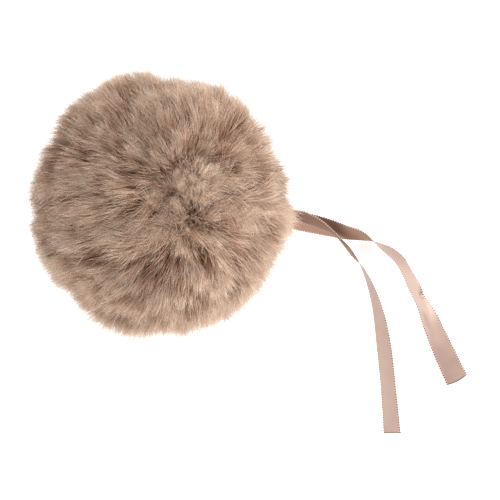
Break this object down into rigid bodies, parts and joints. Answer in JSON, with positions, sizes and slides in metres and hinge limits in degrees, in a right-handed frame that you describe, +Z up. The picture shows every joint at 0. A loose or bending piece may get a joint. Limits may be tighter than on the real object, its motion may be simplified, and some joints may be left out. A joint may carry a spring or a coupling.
{
  "type": "fur pompom with ribbon ties",
  "caption": "Round long-pile faux-fur pompom with a flattened underside and a folded satin ribbon sewn into its gathered mouth, whose free tails tie it to a bag, hat or garment.",
  "frame": {"origin": "on the resting surface, under the middle of the ball", "axes": "+Z up; the ribbon leaves the ball towards +X and its tails then turn towards -Y"},
  "size_m": [0.2202, 0.181, 0.126],
  "materials": {
    "fur": "long soft faux-fur pile, matte, pale tips over a darker taupe underfur",
    "knit_backing": "matte warp-knitted backing cloth",
    "fibrefill": "matte off-white polyester fibre",
    "thread": "spun sewing thread with a slight sheen",
    "satin": "dusty rose satin, glossy on one face and duller on the other"
  },
  "bodies": {
    "pompom": {"fur_pile": "fur", "fur_backing": "knit_backing", "fibrefill_core": "fibrefill", "gathering_thread": "thread", "gathering_knot": "thread", "anchor_stitch_1": "thread", "anchor_stitch_2": "thread", "anchor_stitch_3": "thread", "ribbon_fold": "satin"},
    "tail_a": {"ribbon_tail_a": "satin"},
    "tail_b": {"ribbon_tail_b": "satin"}
  },
  "joints": [
    {"name": "tail_a_swing", "type": "hinge", "parent": "pompom", "child": "tail_a", "pos_m": [0.0518, -0.0045, 0.0258], "axis": [0, 0, 1], "range_deg": [0, 30]},
    {"name": "tail_b_swing", "type": "hinge", "parent": "pompom", "child": "tail_b", "pos_m": [0.0518, -0.0045, 0.037], "axis": [0, 0, 1], "range_deg": [-30, 0]}
  ]
}
